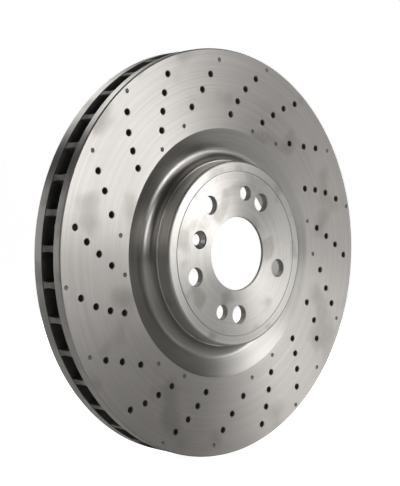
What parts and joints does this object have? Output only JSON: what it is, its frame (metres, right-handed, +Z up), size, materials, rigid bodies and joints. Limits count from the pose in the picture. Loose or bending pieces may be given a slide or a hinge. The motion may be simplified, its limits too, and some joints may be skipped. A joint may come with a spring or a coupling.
{
  "type": "ventilated brake disc",
  "caption": "Ventilated brake disc with cross-drilled friction faces, a shallow hat and a bolt-on mounting flange.",
  "frame": {"origin": "on the disc's axis, in the plane where the mounting flange seats on the wheel hub (the centre of the wheel bolt circle)", "axes": "+Y along the axis towards the hub and the car (inboard), so the hat points to -Y; +Z up with the disc standing as it does on the car"},
  "size_m": [0.3749, 0.0535, 0.375],
  "materials": {
    "turned_hat_face": "fine turned, bright",
    "turned_groove": "turned, darker grey",
    "ground_friction_face": "fine turned and ground, satin",
    "cast_vane": "as cast, dark and matt"
  },
  "bodies": {
    "root": {"mounting_flange": "turned_hat_face", "hat_wall": "turned_hat_face", "hat_neck": "turned_groove", "outboard_friction_ring": "ground_friction_face", "inboard_friction_ring": "ground_friction_face", "cooling_vane_01": "cast_vane", "cooling_vane_02": "cast_vane", "cooling_vane_03": "cast_vane", "cooling_vane_04": "cast_vane", "cooling_vane_05": "cast_vane", "cooling_vane_06": "cast_vane", "cooling_vane_07": "cast_vane", "cooling_vane_08": "cast_vane", "cooling_vane_09": "cast_vane", "cooling_vane_10": "cast_vane", "cooling_vane_11": "cast_vane", "cooling_vane_12": "cast_vane", "cooling_vane_13": "cast_vane", "cooling_vane_14": "cast_vane", "cooling_vane_15": "cast_vane", "cooling_vane_16": "cast_vane", "cooling_vane_17": "cast_vane", "cooling_vane_18": "cast_vane", "cooling_vane_19": "cast_vane", "cooling_vane_20": "cast_vane", "cooling_vane_21": "cast_vane", "cooling_vane_22": "cast_vane", "cooling_vane_23": "cast_vane", "cooling_vane_24": "cast_vane", "cooling_vane_25": "cast_vane", "cooling_vane_26": "cast_vane", "cooling_vane_27": "cast_vane", "cooling_vane_28": "cast_vane", "cooling_vane_29": "cast_vane", "cooling_vane_30": "cast_vane", "cooling_vane_31": "cast_vane", "cooling_vane_32": "cast_vane", "cooling_vane_33": "cast_vane", "cooling_vane_34": "cast_vane", "cooling_vane_35": "cast_vane", "cooling_vane_36": "cast_vane", "cooling_vane_37": "cast_vane", "cooling_vane_38": "cast_vane", "cooling_vane_39": "cast_vane"}
  },
  "joints": []
}
